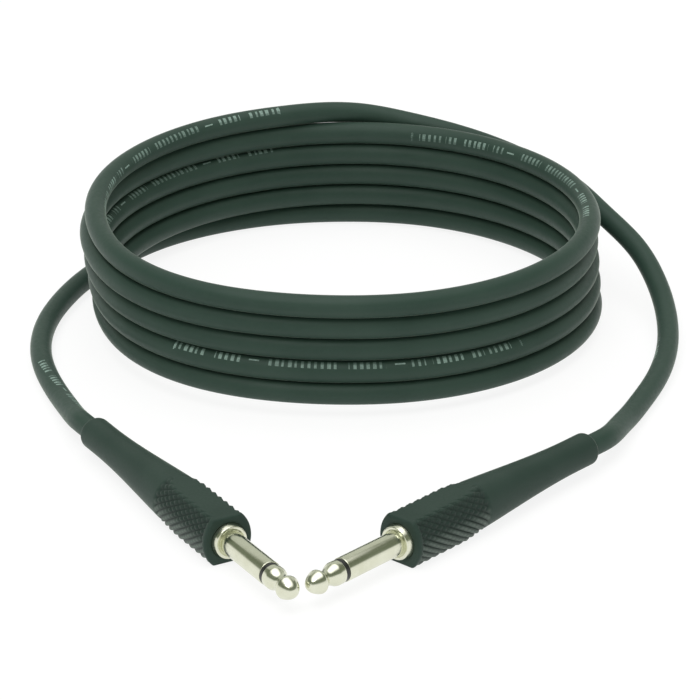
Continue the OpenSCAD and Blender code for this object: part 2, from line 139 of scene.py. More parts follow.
def coil_point(a):
    """The middle of the cable at angle a, which goes on growing from turn to turn, downwards."""
    q = (a - WANDER_START) / WANDER_STEP
    i = min(len(WANDER) - 2, int(q))
    toward = max(0.0, math.cos(math.radians(a - BULGE_AT)))
    r = COIL_R + WANDER[i] + (WANDER[i + 1] - WANDER[i]) * ease(q - i)
    r += BULGE * max(0.0, 2 * toward**2 - 1) ** 2
    return np.array([COIL_X, COIL_Y, coil_height(a)]) + r * way(a)


def plug_front(side):
    turn, gap = PLUGS[side]
    return MEET - way(turn) * (gap + SHAFT_L + COLLAR_PROUD)


def boot_end(side):
    return plug_front(side) - way(PLUGS[side][0]) * HANDLE_L


def lead_points(side, route):
    """The points of a free lead, which ends with a straight stretch of one diameter."""
    lifted = [np.array(p, float) + [0, 0, CABLE_R] for p in route]
    straight = way(PLUGS[side][0]) * CABLE_D
    return lifted + [boot_end(side) - straight * share for share in (1.0, 0.5, 0.0)]


def run_length(points):
    """Distance along the points to each of them."""
    steps = np.linalg.norm(np.diff(points, axis=0), axis=1)
    return np.concatenate([[0.0], np.cumsum(steps)])


def spline(points, first_way, last_way, step):
    """A smooth curve with clamped ends through all points, as points about step apart."""
    p = np.array(points)
    n = len(p)
    t = run_length(p)
    h = np.diff(t)
    matrix, right = np.zeros((n, n)), np.zeros((n, 3))
    matrix[0, 0] = matrix[-1, -1] = 1.0
    right[0], right[-1] = first_way, last_way
    for i in range(1, n - 1):
        matrix[i, i - 1], matrix[i, i], matrix[i, i + 1] = h[i], 2 * (h[i - 1] + h[i]), h[i - 1]
        right[i] = 3 * (h[i] * (p[i] - p[i - 1]) / h[i - 1] + h[i - 1] * (p[i + 1] - p[i]) / h[i])
    slope = np.linalg.solve(matrix, right)

    def at(x):
        i = np.clip(np.searchsorted(t, x, side="right") - 1, 0, n - 2)
        u = ((x - t[i]) / h[i])[:, None]
        w = h[i][:, None]
        return (
            p[i] * (2 * u**3 - 3 * u**2 + 1) + p[i + 1] * (3 * u**2 - 2 * u**3)
            + slope[i] * w * (u**3 - 2 * u**2 + u) + slope[i + 1] * w * (u**3 - u**2)
        )

    fine_t = np.linspace(0.0, t[-1], SPLINE_FINE * n)
    run = run_length(at(fine_t))
    count = int(round(run[-1] / step)) + 1
    return at(np.interp(np.linspace(0.0, run[-1], count), run, fine_t))


def cable_centreline():
    left = lead_points("left", LEFT_ROUTE)[::-1]
    coil = [coil_point(a) for a in range(COIL_END, COIL_START - 1, -COIL_STEP)]
    right = lead_points("right", RIGHT_ROUTE)
    ends = -way(PLUGS["left"][0]), way(PLUGS["right"][0])
    return spline(left + coil + right, *ends, step=LINE_STEP)


# ---- Meshes ----


def grid_mesh(name, rings, closed_rows, sharp):
    """A tube of rings with the same number of points. Open rows get a flat end face each.

    Edges that turn by more than sharp stay sharp.
    """
    rings = np.asarray(rings)
    rows, columns = rings.shape[:2]
    faces = []
    for i in range(rows if closed_rows else rows - 1):
        a, b = i * columns, ((i + 1) % rows) * columns
        for k in range(columns):
            m = (k + 1) % columns
            faces.append((a + k, a + m, b + m, b + k))
    if not closed_rows:
        faces.append(tuple(reversed(range(columns))))
        faces.append(tuple(range((rows - 1) * columns, rows * columns)))
    mesh = bpy.data.meshes.new(name)
    mesh.from_pydata((rings.reshape(-1, 3) * MM).tolist(), [], faces)
    mesh.polygons.foreach_set("use_smooth", [True] * len(faces))
    mesh.set_sharp_from_angle(angle=math.radians(sharp))
    mesh.update()
    return put_in_scene(name, mesh)


def add_vectors(obj, name, vectors):
    """A vector for each point of the mesh, which the shader reads under that name."""
    attribute = obj.data.attributes.new(name, "FLOAT_VECTOR", "POINT")
    attribute.data.foreach_set("vector", vectors.reshape(-1).astype(np.float32))


def even_angles(count):
    """Angles in radians, all round."""
    return np.arange(count) * 2 * math.pi / count


# ---- Cable ----

CABLE_SIDES = 36
# How far a turn swells towards the turns that it rests on and carries, the length over which the
# swelling comes and goes, and how far past the start of the top turn it goes on
SWELL, SWELL_RAMP, SWELL_PAST = 0.2, 30.0, 20.0
# Stretches with printed marks: where they start and end along the cable from the left plug, and
# their angle from the top, outwards, at both
PRINT = [
    (52, 6, 22, -50), (901, 804, 36, 38), (1480, 1402, -16, -38), (2048, 1951, -22, -80),
    (2343, 2243, -34, -86), (2534, 2519, -60, -66),
]


def unit_rows(vectors):
    return vectors / np.linalg.norm(vectors, axis=1)[:, None]


def swell_lift(line, length, angle):
    """How far each point of the skin is lifted, as turns that touch swell towards each other."""
    first, last = (
        length[np.linalg.norm(line - coil_point(a), axis=1).argmin()]
        for a in (COIL_END, COIL_START)
    )
    wound = ease((length - first) / SWELL_RAMP) * ease((last + SWELL_PAST - length) / SWELL_RAMP)
    above = wound * np.clip((coil_height(COIL_START) - line[:, 2]) / PITCH, 0.0, 1.0)
    below = wound * np.clip((line[:, 2] - CABLE_R) / PITCH, 0.0, 1.0)
    c = np.cos(angle)[None]
    up, down = np.maximum(c, 0) ** 2, np.maximum(-c, 0) ** 2
    return SWELL * (above[:, None] * up - below[:, None] * down)


def print_space(length, angle):
    """Each point's place in the printed line: along it, across it, and 1 where it faces out."""
    space = np.zeros((len(length), len(angle), 3))
    space[..., 2] = -1.0
    for first, last, turn_first, turn_last in PRINT:
        inside = (length <= first) & (length >= last)
        share = (first - length[inside]) / (first - last)
        turn = np.radians(turn_first + (turn_last - turn_first) * share)
        off = angle[None] - turn[:, None]
        along = np.broadcast_to((first - length[inside])[:, None], off.shape)
        space[inside] = np.stack([along, np.sin(off) * CABLE_R, np.cos(off)], -1)
    return space


def make_cable():
    """The cable in one piece, its centreline and its length."""
    line = cable_centreline()
    length = run_length(line)
    run = unit_rows(np.gradient(line, axis=0))
    side = unit_rows(np.cross([0.0, 0.0, 1.0], run))
    up = np.cross(run, side)
    angle = even_angles(CABLE_SIDES)
    c, s = np.cos(angle)[None, :, None], np.sin(angle)[None, :, None]
    ring = CABLE_R * (c * up[:, None] + s * side[:, None])
    ring[..., 2] += swell_lift(line, length, angle)
    obj = grid_mesh("cable", line[:, None] + ring, closed_rows=False, sharp=60)
    add_vectors(obj, "print_space", print_space(length, angle))
    return obj, line, float(length[-1])


cable, cable_line, cable_length = make_cable()
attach(cable, "root")
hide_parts("cable_coil", "cable_lead_left", "cable_lead_right")

# ---- Turned pieces: local axis Z, grip's face at Z = 0, tip towards +Z, top towards +Y ----

SHAFT_R, TIP_L, TIP_R, NECK_R, ROD_R = 3.175, 11.0, 3.1, 2.05, 1.1
RING_W, RING_R, SPIGOT_L, SLEEVE_BORE_R, ROOT_R = 1.3, 3.0, 4.0, 2.675, 3.0
HUB_R, HUB_L = 3.9, 9.0
LUG_T, SHOULDER_T, RIVET_L, RIVET_R = 0.6, 1.0, 0.8, 1.8
TIP_BACK = COLLAR_PROUD + SHAFT_L - TIP_L
SLEEVE_FRONT = TIP_BACK - RING_W
TIP_LUG_BACK = -HUB_L - LUG_T - SHOULDER_T - LUG_T
# Radii of the rounded edges
SHAFT_EDGE, RING_EDGE, SPIGOT_EDGE, RIVET_EDGE, RIVET_FILLET = 0.22, 0.16, 0.1, 0.25, 0.05
# Along the tip, as shares of its length: where it starts to narrow, the start and end of its
# neck, where it has widened again, and where its nose starts
NARROWS, NECK_START, NECK_END, WIDEST, NOSE_START = 0.14, 0.43, 0.47, 0.66, 0.69
# The nose: radius of its blunt end and the power that its flanks close in by
BLUNT_R, FLANK_POWER = 1.1, 0.8
# The tip ends this far from the axis, because a turned piece keeps off it
AXIS_R = 0.004
NECK_STEPS, NOSE_STEPS = 14, 16
# The collar: its radius, how far back its flange goes, where it starts to narrow and by how much
COLLAR_R, COLLAR_BACK, COLLAR_WAIST, COLLAR_NARROWS = 4.7, 2.5, 0.1, 0.35
# The dish in its face: depth, outer radius and the room that it leaves round the shaft
DISH_DEPTH, DISH_R, DISH_ROOM = 0.25, 3.7, 0.1
DISH_BOTTOM = COLLAR_PROUD - DISH_DEPTH
# Radii of the collar's edges, from the hub to the bottom of the dish
HUB_EDGE, BACK_EDGE, WAIST_EDGE, FRONT_EDGE, DISH_EDGE, DISH_FILLET = 0.2, 0.1, 0.3, 0.5, 0.3, 0.15
TURNED_SIDES = 96
# Largest share of a straight line that a rounded corner takes
CORNER_SHARE = 0.49


def plug_matrix(side):
    turn = math.radians(PLUGS[side][0] + 90)
    place = Matrix.Translation(tuple(plug_front(side) * MM))
    return place @ Matrix.Rotation(turn, 4, "Z") @ Matrix.Rotation(math.pi / 2, 4, "X")


def rounded(outline, steps=4):
    """The closed outline (radius, height, corner radius) with its corners turned into arcs."""
    made = []
    n = len(outline)
    for i, (r, z, c) in enumerate(outline):
        here = np.array([r, z])
        if c <= 0:
            made.append(here)
            continue
        before = np.array(outline[i - 1][:2]) - here
        after = np.array(outline[(i + 1) % n][:2]) - here
        room_a, room_b = np.linalg.norm(before), np.linalg.norm(after)
        a, b = before / room_a, after / room_b
        half = math.acos(float(np.clip(a @ b, -1, 1))) / 2
        reach = min(c / math.tan(half), CORNER_SHARE * room_a, CORNER_SHARE * room_b)
        start, end = here + a * reach, here + b * reach
        for t in np.linspace(0.0, 1.0, steps + 1):
            made.append(start * (1 - t) ** 2 + 2 * here * t * (1 - t) + end * t**2)
    return made


def turned(name, outline, matrix):
    """A turned piece from a closed outline that keeps off the axis."""
    angle = even_angles(TURNED_SIDES)
    circle = np.stack([np.cos(angle), np.sin(angle)], -1)
    rings = [np.column_stack([circle * r, np.full(TURNED_SIDES, z)]) for r, z in outline]
    obj = grid_mesh(name, rings, closed_rows=True, sharp=40)
    obj.matrix_world = matrix
    return obj


def neck_points(r0, z0, r1, z1):
    t = np.linspace(0.0, 1.0, NECK_STEPS + 1)
    return [(r0 + (r1 - r0) * ease(x), z0 + (z1 - z0) * x, 0) for x in t]


def nose_points(z0, z1):
    points = []
    for t in np.linspace(0.0, 1.0, NOSE_STEPS + 1):
        a = t * math.pi / 2
        r = BLUNT_R * math.cos(a) + (TIP_R - BLUNT_R) * (1 - t) ** FLANK_POWER
        points.append((r, z0 + (z1 - z0) * math.sin(a), 0))
    points[-1] = (AXIS_R, z1, 0)
    return points


def tip_outline():
    def z(share):
        return TIP_BACK + TIP_L * share

    rivet_end = TIP_LUG_BACK - RIVET_L
    return rounded(
        [
            (AXIS_R, rivet_end, 0), (RIVET_R, rivet_end, RIVET_EDGE),
            (RIVET_R, TIP_LUG_BACK, RIVET_FILLET), (ROD_R, TIP_LUG_BACK, 0),
            (ROD_R, TIP_BACK, 0), (TIP_R, TIP_BACK, SHAFT_EDGE),
        ]
        + neck_points(TIP_R, z(NARROWS), NECK_R, z(NECK_START))
        + neck_points(NECK_R, z(NECK_END), TIP_R, z(WIDEST))
        + nose_points(z(NOSE_START), z(1.0))
    )


def collar_outline():
    """A ring that narrows towards its round front edge, with a dished face down to the shaft."""
    return rounded([
        (ROOT_R, -HUB_L, 0), (HUB_R, -HUB_L, HUB_EDGE), (HUB_R, -COLLAR_BACK, 0),
        (COLLAR_R, -COLLAR_BACK, BACK_EDGE), (COLLAR_R, COLLAR_WAIST, WAIST_EDGE),
        (COLLAR_R - COLLAR_NARROWS, COLLAR_PROUD, FRONT_EDGE),
        (DISH_R, COLLAR_PROUD, DISH_EDGE), (SHAFT_R + DISH_ROOM, DISH_BOTTOM, DISH_FILLET),
        (ROOT_R, DISH_BOTTOM, 0),
    ], steps=8)


def sleeve_outline():
    return rounded([
        (SLEEVE_BORE_R, -HUB_L, 0), (ROOT_R, -HUB_L, 0), (ROOT_R, DISH_BOTTOM, 0),
        (SHAFT_R, DISH_BOTTOM, 0), (SHAFT_R, SLEEVE_FRONT, SHAFT_EDGE),
        (SLEEVE_BORE_R, SLEEVE_FRONT, 0),
    ])


def ring_outline():
    spigot_end = SLEEVE_FRONT - SPIGOT_L
    return rounded([
        (ROD_R, spigot_end, 0), (SLEEVE_BORE_R, spigot_end, SPIGOT_EDGE),
        (SLEEVE_BORE_R, SLEEVE_FRONT, 0), (RING_R, SLEEVE_FRONT, RING_EDGE),
        (RING_R, TIP_BACK, RING_EDGE), (ROD_R, TIP_BACK, 0),
    ])


# ---- Grip and boot: s is the distance behind the grip's face ----

SIDE_X, SIDE_SHIFT, ROUND_START = 6.7, 2.2, 19.0
GRIP_R, BOOT_R = 7.1, 4.35
NOSE_R, TAIL_R, FLAT_H = 0.6, 1.2, 6.3
FACE_GAP, FACE_GAP_DEPTH = 0.05, 1.5
MOULD_R, MOULD_WALL, MOULD_FRONT, MOULD_BACK, MOULD_TAPER = 5.2, 1.0, 5.0, 34.0, 5.0
KNURL_PITCH, KNURL_ROWS, KNURL_COLUMNS, KNURL_H, KNURL_START = 3.0, 9, 7, 0.55, 1.1
KNURL_END = KNURL_START + KNURL_ROWS * KNURL_PITCH
KNURL_RUN_OUT = 0.3
BOOT_START = KNURL_END + KNURL_RUN_OUT
# Points from one groove to the next, and steps over each flat
KNURL_SUB, FLAT_STEPS = 6, 26
# Reach of the soft edge between side and flat
FLAT_EDGE = 0.3
# Below this sine of the angle round the axis there is no flat
FLAT_MIN_SINE = 0.2
# Angle that the knurl leaves free towards each flat
RIM_ANGLE = 3.0
# Points over one knurled side, as shares of the knurl's reach: its grooves run out on the flats
SIDE_HALF = 51
SIDE_SHARE = np.arange(-SIDE_HALF, SIDE_HALF + 1) / (KNURL_COLUMNS * KNURL_SUB)
# Lengths over which the grooves deepen behind the face and run out in front of the boot
KNURL_IN, KNURL_OUT = 0.7, 1.8
# Share of a side, from its middle, where diamonds are halfway to ribs, and how fast they turn
RIBS_AT, RIBS_RATE = 0.12, 2
# How far the pattern is ribs, low on a side and at its top
RIBS_LOW, RIBS_TOP = 0.85, 0.35
# Steps over the grip's front edge, the boot and the boot's rear edge
FRONT_STEPS, BOOT_STEPS, TAIL_STEPS = 6, 45, 8
# The knurl's first and last ring each have another this far outside
KNURL_BRIM = 0.05
# Soft lips of the recess round the collar and of the boot's bore: extra radius and depth
RECESS_LIP = [(0.0, 0.12), (0.02, 0.04), (0.08, 0.0)]
BORE_LIP = [(0.12, 0.0), (0.03, 0.04), (0.0, 0.15)]
# Share of a side at which the painted shade is gone, and over how much of it that shade fades
SHADE_END, SHADE_FADE = 1.1, 0.2
# Painted shade: how dark it makes the diamonds, and how much darker their grooves
DIAMOND_SHADE, GROOVE_SHADE = 0.45, 0.25
# A point this far outside the collar's radius lies on the grip's skin
SKIN_CLEAR = 0.5


def round_grip(side):
    """Values over one side for all angles: that side, 0 on a flat, the side mirrored, 0 again."""
    flat = np.zeros(FLAT_STEPS - 1)
    return np.concatenate([side, flat, side[::-1], flat])


def body_radius(s):
    return GRIP_R + (BOOT_R - GRIP_R) * ease((s - STRAIGHT_L) / TAPER_L)


def side_arc(s):
    """Radius of a knurled side's arc, and how far beyond the axis its centre is."""
    shift = SIDE_SHIFT * (1 - ease((s - ROUND_START) / (BOOT_START - ROUND_START)))
    return min(SIDE_X, body_radius(s)) + shift, shift


def knurl_reach(s):
    """Half the angle that the knurl covers about the arc's centre."""
    radius, _ = side_arc(min(s, KNURL_END))
    return math.degrees(math.asin(min(1.0, FLAT_H / radius))) - RIM_ANGLE


def handle_angles(s):
    """Angles round the axis: fine over the two knurled sides, even over the two flats."""
    radius, shift = side_arc(s)
    a = np.radians(SIDE_SHARE * knurl_reach(s))
    fine = np.degrees(np.arctan2(radius * np.sin(a), radius * np.cos(a) - shift))
    over = np.linspace(fine[-1], 180.0 - fine[-1], FLAT_STEPS + 1)[1:-1]
    half = np.concatenate([fine, over])
    return np.concatenate([half, half + 180.0])


def groove_wave(x):
    """1 in the grooves, at whole numbers, and 0 halfway between them."""
    return 2 * np.abs(x - np.floor(x) - 0.5)


def knurl(s):
    """Share of the groove's depth, and how low on its side, for each of the angles round the grip.

    Diamonds at the top of a side turn into ribs lower down, which run rearwards as they go down.
    """
    x = (SIDE_SHARE + 1) * KNURL_COLUMNS
    y = (s - KNURL_START) / KNURL_PITCH * 2
    p, q = groove_wave((x + y) / 2), groove_wave((x - y) / 2)
    lower = ease(0.5 - (SIDE_SHARE - RIBS_AT) * RIBS_RATE)
    rib = lower * RIBS_LOW + (1 - lower) * RIBS_TOP
    groove = 1 - rib * (1 - p**2) - (1 - rib) * (1 - np.maximum(p, q))
    inside = ease((s - KNURL_START) / KNURL_IN) * ease((KNURL_END - s) / KNURL_OUT)
    return round_grip(groove * inside), round_grip(lower * inside)


def skin_radius(s):
    """Radius of the grip's skin at each of its angles, the knurled sides cut off by the flats."""
    radius, shift = side_arc(s)
    a = np.radians(handle_angles(s))
    side_r = np.sqrt(radius**2 - (shift * np.sin(a)) ** 2) - shift * np.abs(np.cos(a))
    side_r -= KNURL_H * knurl(s)[0]
    flat_r = FLAT_H / np.maximum(np.abs(np.sin(a)), FLAT_MIN_SINE)
    blend = np.maximum(FLAT_EDGE - np.abs(side_r - flat_r), 0.0) / FLAT_EDGE
    return np.minimum(side_r, flat_r) - blend**2 * FLAT_EDGE / 4


def handle_ring(radius, s, angles_at):
    """Points with that radius all round, at the angles of the grip's skin at angles_at."""
    a = np.radians(handle_angles(angles_at))
    circle = np.stack([np.cos(a), np.sin(a)], -1)
    return np.column_stack([circle * np.reshape(radius, (-1, 1)), np.full(len(a), -s)])


def handle_rings():
    """The moulding's rings: recess, face, knurl, boot, and back through the hollow inside."""
    recess_r = COLLAR_R + FACE_GAP
    lip_r = recess_r + RECESS_LIP[-1][0]
    nose_r = skin_radius(0.0) - NOSE_R
    face = [(recess_r, FACE_GAP_DEPTH)] + [(recess_r + out, s) for out, s in RECESS_LIP]
    face.append(((nose_r + lip_r) / 2, 0.0))
    for t in np.linspace(0.0, math.pi / 2, FRONT_STEPS + 1):
        face.append((nose_r + NOSE_R * math.sin(t), NOSE_R * (1 - math.cos(t))))

    skin = np.concatenate([
        [KNURL_START - KNURL_BRIM],
        np.linspace(KNURL_START, KNURL_END, 2 * KNURL_ROWS * KNURL_SUB + 1),
        [KNURL_END + KNURL_BRIM],
        np.linspace(BOOT_START, HANDLE_L - TAIL_R, BOOT_STEPS + 1),
    ])
    tail = []
    for t in np.linspace(0.0, math.pi / 2, TAIL_STEPS + 1)[1:]:
        r = BOOT_R - TAIL_R * (1 - math.cos(t))
        tail.append((r, HANDLE_L - TAIL_R + TAIL_R * math.sin(t)))

    bore = [(CABLE_R + out, HANDLE_L - s) for out, s in BORE_LIP]
    hollow = [
        (CABLE_R, MOULD_BACK), (CABLE_R + MOULD_WALL, MOULD_BACK),
        (MOULD_R, MOULD_BACK - MOULD_TAPER), (MOULD_R, MOULD_FRONT), (HUB_R, MOULD_FRONT),
        (HUB_R, COLLAR_BACK), (COLLAR_R, COLLAR_BACK), (COLLAR_R, FACE_GAP_DEPTH),
    ]
    rings = [handle_ring(r, s, 0.0) for r, s in face]
    rings += [handle_ring(skin_radius(s), s, s) for s in skin]
    rings += [handle_ring(r, s, s) for r, s in tail]
    rings += [handle_ring(r, s, HANDLE_L) for r, s in bore]
    rings += [handle_ring(r, s, 0.0) for r, s in hollow]
    return rings[::-1]


def knurl_painted_light(rings):
    """Painted light for the shader: a painted highlight on the ribs low on each side, and painted
    shade on the diamonds and in the grooves.
    """
    on_sides = round_grip(ease((SHADE_END - np.abs(SIDE_SHARE)) / SHADE_FADE))
    tint = np.zeros(np.shape(rings))
    for row, ring in zip(tint, rings):
        s = -ring[0, 2]
        groove, lower = knurl(s)
        skin = float(np.hypot(*ring[0, :2]) > COLLAR_R + SKIN_CLEAR and s > KNURL_START)
        inside = skin * ease((KNURL_END - s) / KNURL_OUT) * on_sides
        # Painted shade: darker in the grooves, and darker all over the diamonds high on a side
        painted_shade = lower * groove + (1 - lower) * (DIAMOND_SHADE + GROOVE_SHADE * groove)
        # Painted highlight on the rib crests low on a side
        row[:, 0] = lower * (1 - groove) * skin
        row[:, 1] = inside * painted_shade
    return tint


# Material slot of each kind of piece, under the end of its node's name
NODE_SLOTS = {
    "tip": "nickel", "tip_insulator": "black_insulator", "core_insulator": "ivory_insulator",
    "sleeve": "nickel", "collar": "nickel", "ground_lug": "tinned_lug", "tip_lug": "tinned_lug",
    "inner_mould": "inner_mould", "handle": "grip_rubber", "cable_end": "jacket",
    "dielectric": "dielectric", "conductor": "copper", "screen_tail": "copper",
    "solder": "solder", "coil": "jacket", "lead_left": "jacket", "lead_right": "jacket",
}
HANDLE_RINGS = handle_rings()
# Painted highlight and painted shade of the knurl, for the grip's shader
KNURL_PAINTED_LIGHT = knurl_painted_light(HANDLE_RINGS)


def make_plug(side):
    matrix = plug_matrix(side)
    made = {
        "tip": turned(f"{side}_tip_turned", tip_outline(), matrix),
        "tip_insulator": turned(f"{side}_ring_turned", ring_outline(), matrix),
        "sleeve": turned(f"{side}_sleeve_turned", sleeve_outline(), matrix),
        "collar": turned(f"{side}_collar_turned", collar_outline(), matrix),
        "handle": grid_mesh(f"{side}_handle_moulded", HANDLE_RINGS, closed_rows=True, sharp=70),
    }
    made["handle"].matrix_world = matrix
    add_vectors(made["handle"], "knurl_painted_light", KNURL_PAINTED_LIGHT)
    for node, obj in made.items():
        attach(obj, "root")
        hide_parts(f"{side}_{node}")
    return made


plugs = {side: make_plug(side) for side in PLUGS}

# ---- Materials ----


def rgba(r, g, b):
    return (r, g, b, 1.0)


class Nodes:
    """Short names for making and joining the shader nodes of a material or a world."""

    def __init__(self, owner):
        owner.use_nodes = True
        self.owner, self.tree = owner, owner.node_tree

    def add(self, kind, *inputs, **settings):
        """A node with these settings and inputs in their order. None leaves an input alone."""
        node = self.tree.nodes.new(kind)
        for name, value in settings.items():
            setattr(node, name, value)
        for socket, value in zip(node.inputs, inputs):
            if value is not None:
                self.join(value, socket)
        return node

    def join(self, value, socket):
        if isinstance(value, bpy.types.NodeSocket):
            self.tree.links.new(value, socket)
        else:
            socket.default_value = value

    def math(self, operation, a, b=0.0):
        return self.add("ShaderNodeMath", a, b, operation=operation).outputs[0]

    def product(self, *factors):
        result = factors[0]
        for factor in factors[1:]:
            result = self.math("MULTIPLY", result, factor)
        return result

    def local(self, scale=(1.0, 1.0, 1.0)):
        """Place on the object in its own axes, in metres."""
        spot = self.add("ShaderNodeTexCoord").outputs["Object"]
        return self.add("ShaderNodeMapping", spot, None, None, scale).outputs[0]

    def noise(self, vector, scale, detail=3.0, roughness=0.55):
        node = self.add("ShaderNodeTexNoise", vector, None, scale, detail, roughness)
        return node.outputs[0]

    def ramp(self, value, low, high, out_low=0.0, out_high=1.0):
        """The value's way from low to high, from out_low to out_high."""
        return self.add("ShaderNodeMapRange", value, low, high, out_low, out_high).outputs[0]

    def color_ramp(self, value, stops, interpolation="LINEAR"):
        """Colours over a value, from stops of a position and a colour in their order."""
        node = self.add("ShaderNodeValToRGB", value)
        node.color_ramp.interpolation = interpolation
        elements = node.color_ramp.elements
        # New elements wait near the end, so that none overtakes another as they get their places
        while len(elements) < len(stops):
            elements.new(0.999)
        for element, (position, color) in zip(elements, stops):
            element.position = position
            element.color = color
        return node.outputs[0]

    def mix(self, share, a, b):
        """A mix of two colours, whose sockets come after those for numbers and vectors."""
        node = self.add("ShaderNodeMix", share, data_type="RGBA")
        self.join(a, node.inputs[6])
        self.join(b, node.inputs[7])
        return node.outputs[2]

    def bump(self, height, distance, strength, normal=None):
        node = self.add("ShaderNodeBump")
        for name, value in (("Strength", strength), ("Distance", distance), ("Height", height)):
            self.join(value, node.inputs[name])
        if normal is not None:
            self.join(normal, node.inputs["Normal"])
        return node.outputs[0]

    def attribute(self, name):
        """The three numbers of a mesh's vectors of that name."""
        vector = self.add("ShaderNodeAttribute", attribute_name=name).outputs["Vector"]
        return self.add("ShaderNodeSeparateXYZ", vector).outputs

    def finish(self, color, roughness, normal, **more):
        """The material, with what is given joined to the sockets of its shader."""
        shader = self.tree.nodes["Principled BSDF"]
        for name, value in {"Base_Color": color, "Roughness": roughness, **more}.items():
            self.join(value, shader.inputs[name.replace("_", " ")])
        self.join(normal, shader.inputs["Normal"])
        return self.owner


def material_nodes(name):
    return Nodes(bpy.data.materials.new(name))


# Plain marks in the printed line: start and end, and strength
WORDS = [
    (0.2, 9, 1.0), (12.5, 19.3, 1.0), (21.8, 24.5, 0.3), (26.2, 45.6, 0.7), (47.9, 57.6, 0.7),
    (59.8, 62.6, 0.3), (64.3, 68.3, 0.7), (70.3, 79.2, 0.9), (80.8, 85, 0.7), (86.4, 93.6, 0.7),
]
WORDS_SPAN = 100.0
# Marks at least this strong are rows of ticks, weaker ones dashes, and the weakest are bare jacket
TICKS_FROM, DASHES_FROM = 0.5, 0.1
# The ticks: pitch, narrowest width as a share of it and how much wider they get by chance
TICK_PITCH, TICK_WIDTH, TICK_SPREAD = 1.7, 0.34, 0.3
# Across the line: ends of the ticks, half the width of the dashes, and where a tick's paint
# starts to thin, at most
TICK_BOTTOM, TICK_TOP, DASH_HALF, THIN_FROM = -0.9, 1.0, 0.2, -0.35
# Paint that is left where a tick is thin, and the rest of it
THIN_PAINT, MORE_PAINT = 0.55, 0.45
# Least that a point faces out for paint to lie there
PRINT_FACING = 0.3


def print_share(n):
    """How much of the printed marks' paint lies at a point: rows of plain ticks and dashes."""
    along, across, facing = n.attribute("print_space")
    edges = [(0.0, 0.0)] + [edge for start, end, x in WORDS for edge in ((start, x), (end, 0.0))]
    stops = [(place / WORDS_SPAN, rgba(x, x, x)) for place, x in edges]
    word = n.color_ramp(n.math("DIVIDE", along, WORDS_SPAN), stops, "CONSTANT")
    ticks_along = n.math("DIVIDE", along, TICK_PITCH)
    cell = n.math("FLOOR", ticks_along)
    chance = n.add("ShaderNodeTexWhiteNoise", None, cell, noise_dimensions="1D").outputs[0]
    wide = n.math("ADD", TICK_WIDTH, n.product(chance, TICK_SPREAD))
    full = n.math("GREATER_THAN", across, n.product(chance, THIN_FROM))
    tick = n.product(
        n.math("LESS_THAN", n.math("FRACT", ticks_along), wide),
        n.math("LESS_THAN", across, TICK_TOP),
        n.math("GREATER_THAN", across, TICK_BOTTOM),
        n.math("GREATER_THAN", word, TICKS_FROM),
        n.math("ADD", THIN_PAINT, n.product(full, MORE_PAINT)),
        word,
    )
    dash = n.product(
        n.math("LESS_THAN", n.math("ABSOLUTE", across), DASH_HALF),
        n.math("GREATER_THAN", word, DASHES_FROM),
        n.math("LESS_THAN", word, TICKS_FROM),
    )
    worn = n.ramp(n.noise(n.local(), 1600.0, 2.0), 0.3, 0.6, 0.55, 1.0)
    outside = n.math("GREATER_THAN", facing, PRINT_FACING)
    return n.product(n.math("MAXIMUM", tick, dash), worn, outside)


# Soft compounds: two clouded colours and the colour of their fine specks
JACKET_COLORS = rgba(0.027, 0.057, 0.042), rgba(0.035, 0.068, 0.051), rgba(0.050, 0.083, 0.065)
RUBBER_COLORS = rgba(0.020, 0.043, 0.032), rgba(0.027, 0.052, 0.040), rgba(0.044, 0.070, 0.056)
SHEEN = {"Sheen_Roughness": 0.22, "Sheen_Tint": rgba(0.86, 1.0, 0.86)}
# What lies on them, the print and the grip's painted highlight and painted shade: its colour and
# how far it covers them
PRINT_COLOR, PRINT_COVER = rgba(0.36, 0.50, 0.44), 0.8
# Painted highlight on the grip's lower ribs
RIB_HIGHLIGHT_COLOR, RIB_HIGHLIGHT_COVER = rgba(0.120, 0.155, 0.132), 0.85
# Painted shade on the grip's diamonds and in its grooves
PAINTED_SHADE_COLOR, PAINTED_SHADE_COVER = rgba(0.006, 0.014, 0.011), 0.8
NICKEL_COLORS = rgba(0.68, 0.69, 0.54), rgba(0.76, 0.77, 0.63)
# Heights of the fine roughness, in metres
GRAIN, WAVES, TURNING, CLOUDS = 0.00003, 0.0002, 0.000004, 0.00002


def compound(n, colors, broad_scale, fine_scale, specks):
    """Base colour of a soft compound, and the two noises that it is made from."""
    dark, light, speck = colors
    spot = n.local()
    broad = n.noise(spot, broad_scale, 2.0)
    fine = n.noise(spot, fine_scale)
    base = n.mix(n.ramp(broad, 0.35, 0.65), dark, light)
    return n.mix(n.ramp(fine, 0.3, 0.75, 0.0, specks), base, speck), broad, fine


def jacket_material():
    """Matt black-green jacket with a line of plain, pale printed marks."""
    n = material_nodes("cable_jacket")
    base, broad, fine = compound(n, JACKET_COLORS, 45.0, 900.0, 0.25)
    base = n.mix(n.product(print_share(n), PRINT_COVER), base, PRINT_COLOR)
    bump = n.bump(fine, GRAIN, 0.35, n.bump(broad, WAVES, 0.2))
    rough = n.ramp(fine, 0.3, 0.7, 0.46, 0.60)
    return n.finish(base, rough, bump, Specular_IOR_Level=0.26, Sheen_Weight=0.4, **SHEEN)


